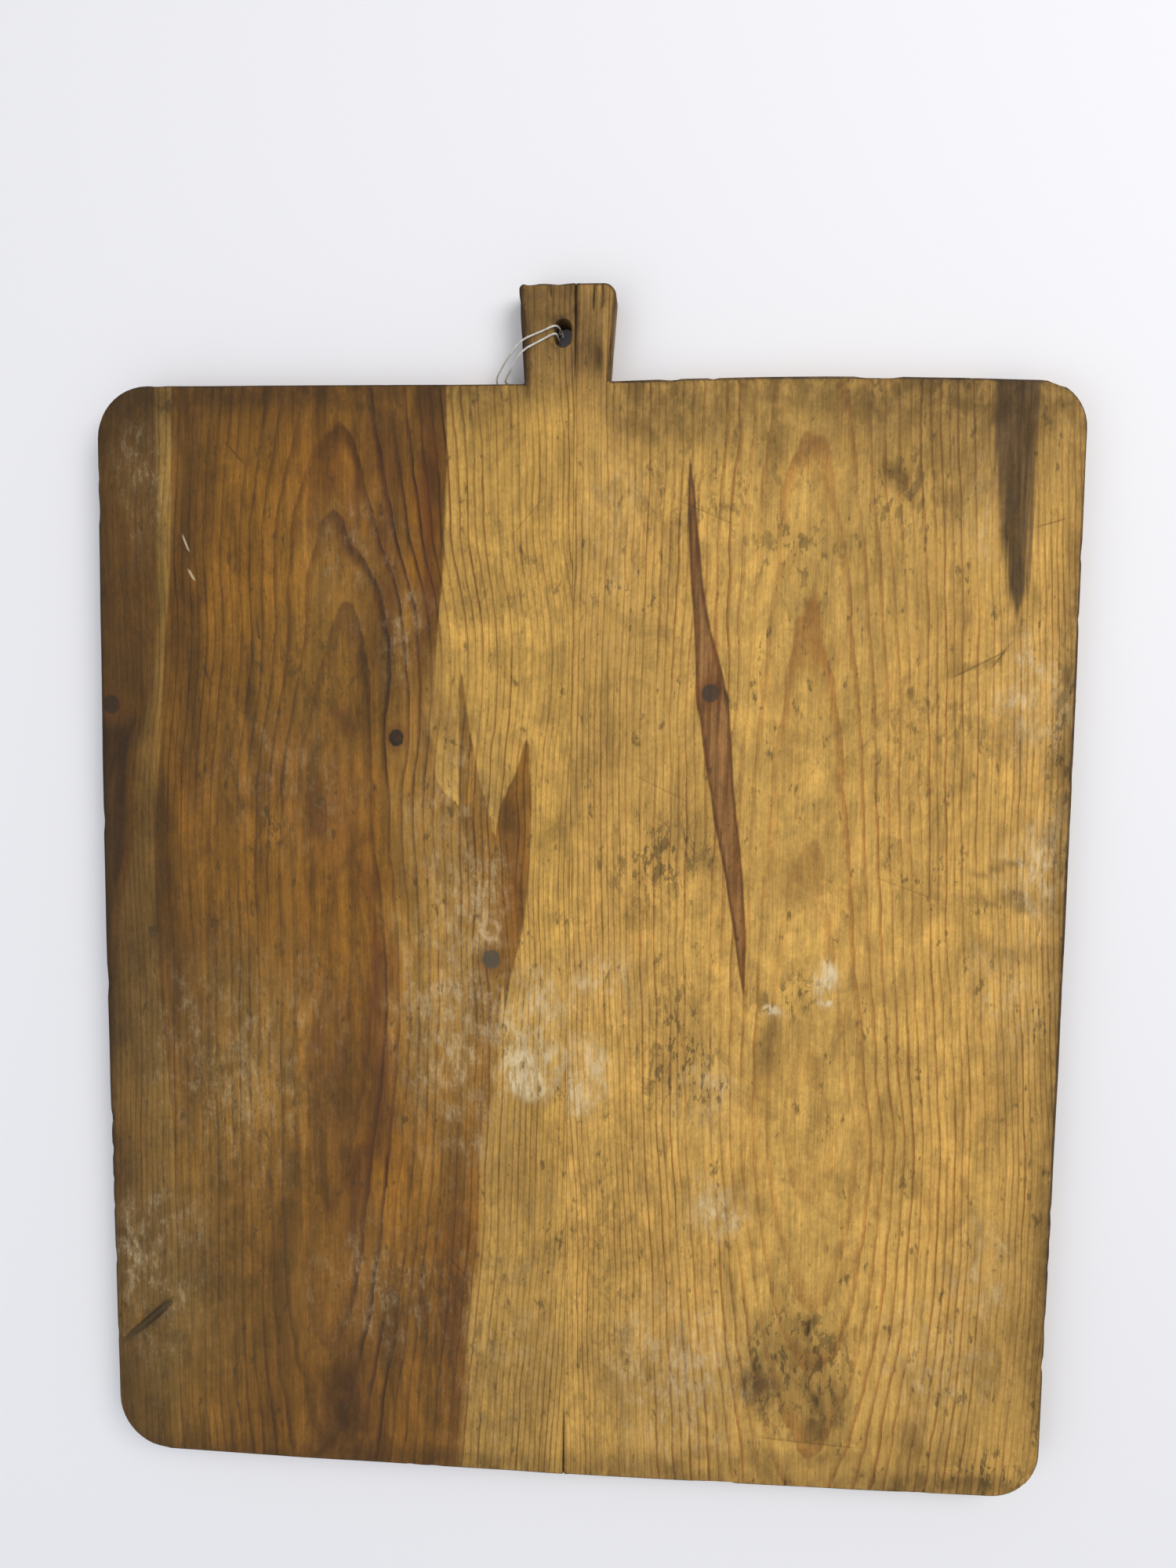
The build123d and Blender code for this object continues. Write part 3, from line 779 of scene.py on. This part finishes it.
def rampOf(values, low, high):
    share = np.clip((values - low) / (high - low), 0.0, 1.0)
    return share * share * (3 - 2 * share)


def lineMask(points, x1, y1, x2, y2, width):
    # 1 along the middle of a cut, falling to 0 at its sides and ends
    run = np.array((x2 - x1, y2 - y1))
    length = np.hypot(*run)
    offset = points[:, :2] - np.array((x1, y1))
    share = offset @ run / length ** 2
    off = np.abs(offset @ np.array((-run[1], run[0])) / length)
    taper = rampOf(share, -0.01, 0.2) * rampOf(share, 1.01, 0.7)
    return np.clip(1 - (off / (width / 2)) ** 2, 0, 1) * taper


def wearPlank(piece, cuts, knots, shift):
    points = pointsOf(piece)
    normals = np.array([vertex.normal[:] for vertex in piece.data.vertices])
    x, y, z = points.T.copy()
    upper = rampOf(z, wear["aboveBores"], 20.0)
    drop = wear["dish"] * np.exp(-((x + 10) / 190) ** 2 - ((y + 10) / 220) ** 2)
    drop += wear["ripple"] * (1 + noiseAt(points, (0.022, 0.012, 0.0), shift)) / 2
    drop += 0.12 * (1 + noiseAt(points, (0.09, 0.05, 0.0), shift + 7)) / 2

    # outline: slow waves, and nicks that are deepest at the upper arris
    sideways = np.hypot(normals[:, 0], normals[:, 1])
    clearOfBores = (np.abs(x - wear["seamX"]) > wear["boreReach"]) | (np.abs(y) > wear["boresWithin"])
    outer = rampOf(sideways, 0.25, 0.7) * (np.abs(x - wear["seamX"]) > 2.5) * clearOfBores
    inSlot = (np.abs(x - wear["slotX"]) < 6.5) & (np.abs(y - wear["slotY"]) < 9.5)
    waves = wear["edgeLoss"] * (1 + noiseAt(points, (0.03, 0.03, 0.0), shift + 3)) / 2
    nicks = np.clip(noiseAt(points, (0.085, 0.085, 0.02), shift + 11) - 0.28, 0, 1) * wear["nickDepth"] * 2
    loss = outer * (waves + nicks * (0.25 + 0.75 * upper)) * np.where(inSlot, 0.3, 1.0)
    unit = normals[:, :2] / np.maximum(sideways, 1e-6)[:, None]
    points[:, :2] -= unit * loss[:, None]

    # handle: a wide worn round-over on its right, less on its left, and a worn slot rim
    onHandle = rampOf(y, wear["shoulderY"] - 2, wear["shoulderY"] + 5)
    share = (y - wear["shoulderY"]) / wear["handleLength"]
    rightEdge = wear["rootRightX"] + wear["flare"] * share
    leftEdge = wear["rootLeftX"] - wear["flare"] * share
    rounding = np.clip((x - rightEdge + wear["roundWidth"]) / wear["roundWidth"], 0, 1.1)
    drop += onHandle * wear["roundDrop"] * rounding ** 2
    drop += onHandle * 0.7 * np.clip((leftEdge + 4.0 - x) / 4.0, 0, 1.1) ** 2
    drop += onHandle * 0.8 * np.clip((y - 309.5) / 5.0, 0, 1.1) ** 2
    fromSlot = np.hypot((x - wear["slotX"]) / 4.0, (y - wear["slotRubY"]) / 6.75) - 1.0
    slotRim = np.clip(1 - fromSlot / 0.9, 0, 1) ** 2 * (y > wear["shoulderY"])
    drop += 0.55 * slotRim * np.where(y > 290, 1.3, 0.7)

    # the joint: a fine groove, and a crack where the glue has let go
    openness = np.maximum(rampOf(y, *wear["openFrom"]), rampOf(y, *wear["openFoot"]))
    fromSeam = np.abs(x - wear["seamX"])
    groove = np.clip(1 - fromSeam / wear["seamStrips"][2], 0, 1) ** 2
    ragged = 0.75 + 0.5 * (1 + noiseAt(points, (0.0, 0.12, 0.0), shift + 19)) / 2
    drop += groove * (wear["seamShut"] + wear["seamOpen"] * openness) * ragged
    away = np.sign(np.mean(x) - wear["seamX"])
    atSeam = (fromSeam < 0.05) * rampOf(z, 9.0, 16.0)
    points[:, 0] += away * atSeam * (0.06 + wear["seamGape"] * openness * ragged)

    cutMask = np.zeros(len(x))
    for x1, y1, x2, y2, width, depth in cuts:
        mask = lineMask(points, x1, y1, x2, y2, width)
        drop += mask * depth * (z > 19)
        cutMask = np.maximum(cutMask, mask * min(1.0, 0.35 + depth) * rampOf(z, *wear["marksFrom"]))
    for knotX, knotY, wide, long, *look in knots:
        drop += 0.35 * np.clip(1 - ((x - knotX) / wide * 2) ** 2 - ((y - knotY) / long * 2) ** 2, 0, 1)
    points[:, 2] -= drop * upper
    putPoints(piece, points)
    return cutMask


def addLayer(piece, name, values):
    layer = piece.data.attributes.new(name, "FLOAT", "POINT")
    layer.data.foreach_set("value", values)


def paintMarks(piece, marks, cutMask, flecks, shift):
    # vertex paint: each kind of mark is a layer, and each entry in it a soft ragged oval
    points = pointsOf(piece)
    steady = 1 - 0.94 * rampOf(points[:, 1], wear["shoulderY"] - 20, wear["shoulderY"] + 4)
    slow, quick = (0.05, 0.035, 0.05), (0.15, 0.1, 0.1)
    pullX = 7 * noiseAt(points, slow, shift) + 3 * noiseAt(points, quick, shift + 2)
    pullY = 11 * noiseAt(points, slow, shift + 5) + 4 * noiseAt(points, quick, shift + 8)
    x = points[:, 0] + pullX * steady
    y = points[:, 1] + pullY * steady
    for name, entries in marks.items():
        total = np.zeros(len(x))
        for middleX, middleY, width, length, angle, softness, strength in entries:
            turn = math.radians(angle)
            offX, offY = x - middleX, y - middleY
            wide = (offX * math.cos(turn) + offY * math.sin(turn)) / (width / 2)
            long = (offY * math.cos(turn) - offX * math.sin(turn)) / (length / 2)
            far = np.hypot(wide, long)
            total = np.maximum(total, rampOf(far, 1 + softness, 1 - softness) * strength)
        addLayer(piece, name, total)
    addLayer(piece, "cuts", cutMask)
    fleckMask = np.zeros(len(x))
    for x1, y1, x2, y2, width in flecks:
        fleckMask = np.maximum(fleckMask, lineMask(points, x1, y1, x2, y2, width))
    addLayer(piece, "flecks", fleckMask * rampOf(points[:, 2], *wear["marksFrom"]))


def makePlank(nodeName, pieceName, material, figure, marks, cuts, flecks):
    fleckLines = [(x1, y1, x2, y2, width, 0.0) for x1, y1, x2, y2, width in flecks]
    piece = griddedPlank(nodeName, pieceName, cuts + fleckLines)
    cutMask = wearPlank(piece, cuts, figure["knots"], figure["noiseShift"])
    paintMarks(piece, marks, cutMask, flecks, figure["noiseShift"])
    piece.data.materials.append(material)
    makeActive(piece)
    bpy.ops.object.shade_smooth_by_angle(angle=math.radians(35))
    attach(piece, "root")
    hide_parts(nodeName)
    triangles = sum(len(face.vertices) - 2 for face in piece.data.polygons)
    print(pieceName, "has", triangles, "triangles")
    return piece


makePlank("left_plank", "leftPlankWorn", leftPine, leftFigure, leftMarks, leftCuts, leftFlecks)
makePlank(
    "right_plank", "rightPlankWorn", rightPine, rightFigure, rightMarks, rightCuts, rightFlecks)


# ---- hanging line: one nylon line wound twice round the left half of the handle, its ends in a barrel knot

hangLine = {
    "diameter": 0.001,
    "length": 0.2135,
    "exit": (-0.0105, 0.2931, 0.0202),
    "route": [
        (-9.4, 293.2, 9.6), (-9.4, 293.2, 13.6), (-9.8, 293.2, 17.2), (-10.5, 293.1, 20.2),
        (-12.4, 292.6, 21.6), (-16.8, 290.9, 20.6), (-22.4, 288.7, 20.6), (-27.2, 286.5, 21.2),
        (-31.6, 283.2, 18.8), (-35.8, 279.4, 14.6), (-40.0, 275.0, 9.8), (-43.2, 271.0, 5.4),
        (-42.6, 268.4, 1.8), (-38.4, 267.4, 0.5), (-32.4, 267.0, 0.5), (-25.6, 268.0, 0.5),
        (-18.6, 270.6, 0.5), (-13.0, 275.6, 0.5), (-10.6, 281.6, 0.5), (-10.4, 286.8, 0.8),
        (-10.3, 288.4, 4.6), (-10.3, 288.7, 10.0), (-10.4, 289.0, 15.4), (-10.6, 289.3, 20.1),
        (-12.4, 288.8, 21.6), (-16.8, 286.8, 20.6), (-22.4, 284.0, 20.6), (-27.0, 281.4, 21.2),
        (-30.8, 277.8, 18.6), (-34.0, 274.2, 14.0), (-37.0, 271.4, 9.2), (-38.8, 269.6, 4.8),
        (-37.0, 269.2, 1.4), (-32.6, 268.8, 0.5), (-27.0, 269.8, 0.5), (-21.6, 272.4, 0.5),
        (-17.0, 277.0, 0.5), (-14.6, 283.0, 0.5), (-12.8, 288.4, 0.5), (-10.4, 292.4, 1.2),
        (-9.4, 293.2, 4.0), (-9.4, 293.2, 7.0)],
}

barrelKnot = {
    "middle": (-9.4, 293.2, 8.3),
    "turns": 3,
    "pointsPerTurn": 12,
    "turnRadius": 0.92,
    "lineRadius": 0.46,
    "height": 1.7,
    "tail": [(-8.6, 292.6, 9.25), (-8.2, 291.6, 9.9), (-8.3, 290.4, 10.8)],
}


def nylonMaterial():
    # clear line gone cloudy, with grease and flour on it
    material, tree, shader = newMaterial("clearNylon")
    place = inMillimetres(tree)
    cloudy = grainNoise(tree, place, (0.35, 0.35, 0.35), 3.0, 0.6, 2.0)
    grime = grainNoise(tree, place, (1.4, 1.4, 1.4), 2.0, 0.6, 9.0)
    colour = blendColour(tree, fade(tree, cloudy, 0.35, 0.65), paint(244, 245, 242), paint(214, 210, 196))
    colour = blendColour(tree, fade(tree, grime, 0.55, 0.75, 0.0, 0.4), colour, paint(150, 132, 104))
    feed(tree, shader.inputs["Base Color"], colour)
    feed(tree, shader.inputs["Roughness"], fade(tree, cloudy, 0.35, 0.65, 0.14, 0.34))
    shader.inputs["Transmission Weight"].default_value = 0.36
    shader.inputs["IOR"].default_value = 1.53
    addBump(tree, shader, grime, 0.3, 0.00004)
    return material


def lineCurve(name, route, radius, material):
    # round line that follows its control points smoothly
    curve = bpy.data.curves.new(name, "CURVE")
    curve.dimensions = "3D"
    spline = curve.splines.new("NURBS")
    spline.points.add(len(route) - 1)
    for point, place in zip(spline.points, route):
        point.co = (place[0] * mm, place[1] * mm, place[2] * mm, 1.0)
    spline.order_u = 3
    spline.use_endpoint_u = True
    curve.bevel_depth = radius
    curve.bevel_resolution = 4
    curve.resolution_u = 10
    curve.use_fill_caps = True
    curve.materials.append(material)
    return inScene(name, curve)


def addHangLine():
    nylon = nylonMaterial()
    line = lineCurve("hangLineNylon", hangLine["route"], hangLine["diameter"] / 2, nylon)
    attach(line, "root")
    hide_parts("hang_line")
    count = barrelKnot["turns"] * barrelKnot["pointsPerTurn"]
    middleX, middleY, middleZ = barrelKnot["middle"]
    wound = []
    for step in range(count + 1):
        angle = 2 * math.pi * step / barrelKnot["pointsPerTurn"]
        wound.append((
            middleX + barrelKnot["turnRadius"] * math.cos(angle),
            middleY + barrelKnot["turnRadius"] * math.sin(angle),
            middleZ + barrelKnot["height"] * (step / count - 0.5)))
    knot = lineCurve("barrelKnotNylon", wound + barrelKnot["tail"], barrelKnot["lineRadius"] * mm, nylon)
    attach(knot, "root")
    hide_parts("line_knot")


addHangLine()
print("line and knot made")


# ---- beech dowels, hidden in the joint

def beechMaterial():
    material, tree, shader = newMaterial("beechDowel")
    place = inMillimetres(tree)
    flecks = grainNoise(tree, place, (0.16, 2.2, 2.2), 3.0, 0.6, 4.0)
    bands = grainNoise(tree, place, (0.02, 0.5, 0.5), 2.0, 0.5, 8.0)
    colour = blendColour(tree, fade(tree, bands, 0.35, 0.65), paint(206, 170, 126), paint(188, 146, 100))
    colour = blendColour(tree, fade(tree, flecks, 0.55, 0.7, 0.0, 0.6), colour, paint(150, 104, 66))
    feed(tree, shader.inputs["Base Color"], colour)
    feed(tree, shader.inputs["Roughness"], fade(tree, bands, 0.3, 0.7, 0.5, 0.66))
    addBump(tree, shader, flecks, 0.5, 0.0001)
    return material


beech = beechMaterial()
for nodeName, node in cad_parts.items():
    if nodeName.startswith("edge_dowel"):
        for materialSlot in node.material_slots:
            materialSlot.material = beech
print("dowels finished")


# ---- floor and light

studio = {
    "floorSize": 6.0,
    "floorColour": paint(236, 236, 240),
    "world": 0.55,
}


def addLight(name, place, target, size, power, colour):
    light = bpy.data.lights.new(name, "AREA")
    light.shape = "SQUARE"
    light.size = size
    light.energy = power
    light.color = colour
    lamp = inScene(name, light)
    aim = (Vector(place) - Vector(target)).to_track_quat("Z", "Y")
    lamp.location = place
    lamp.rotation_mode = "QUATERNION"
    lamp.rotation_quaternion = aim


def addStudio(setup):
    deselectAll()
    bpy.ops.mesh.primitive_plane_add(size=setup["floorSize"], location=(0, 0, 0))
    floor = bpy.context.object
    floor.name = "paleFloor"
    material, tree, shader = newMaterial("paleFloor")
    shader.inputs["Base Color"].default_value = setup["floorColour"]
    shader.inputs["Roughness"].default_value = 0.8
    floor.data.materials.append(material)
    addLight("keyLight", (1.1, 0.9, 1.7), (0, 0, 0), 1.2, 26, (1.0, 0.97, 0.93))
    addLight("fillLight", (-1.2, -0.6, 1.5), (0, 0, 0), 1.5, 8, (0.93, 0.96, 1.0))
    world = bpy.data.worlds.new("softRoom")
    world.use_nodes = True
    world.node_tree.nodes["Background"].inputs["Color"].default_value = (0.95, 0.97, 1.0, 1.0)
    world.node_tree.nodes["Background"].inputs["Strength"].default_value = setup["world"]
    bpy.context.scene.world = world
    bpy.context.scene.view_settings.view_transform = "Standard"


addStudio(studio)
print("studio set")
